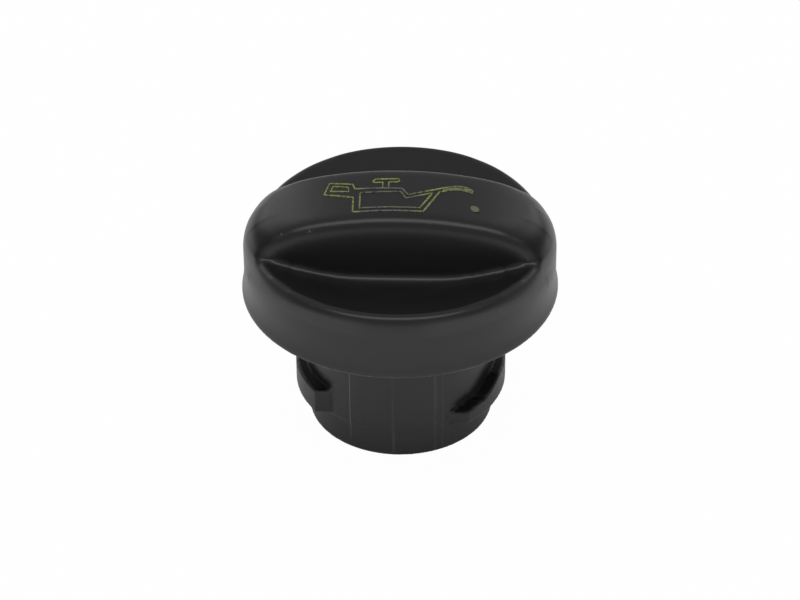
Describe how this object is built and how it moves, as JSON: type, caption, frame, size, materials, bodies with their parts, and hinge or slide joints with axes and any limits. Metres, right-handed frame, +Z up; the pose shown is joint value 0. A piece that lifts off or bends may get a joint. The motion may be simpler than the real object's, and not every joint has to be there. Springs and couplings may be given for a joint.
{
  "type": "oil filler cap",
  "caption": "Black moulded oil filler cap with a straight finger grip across a dished head, a hollow stem with bayonet lugs and a rubber sealing ring under the head",
  "frame": {"origin": "centre of the stem's lower end", "axes": "+Z up along the stem's axis to the grip; +X along the grip; -Y faces the viewer of the picture"},
  "size_m": [0.064, 0.064, 0.0518],
  "materials": {
    "black_nylon": "satin black glass-filled nylon, lightly scuffed along the edges",
    "seal_rubber": "matt black oil-resistant rubber"
  },
  "bodies": {
    "root": {"cap_moulding": "black_nylon", "sealing_ring": "seal_rubber"}
  },
  "joints": []
}
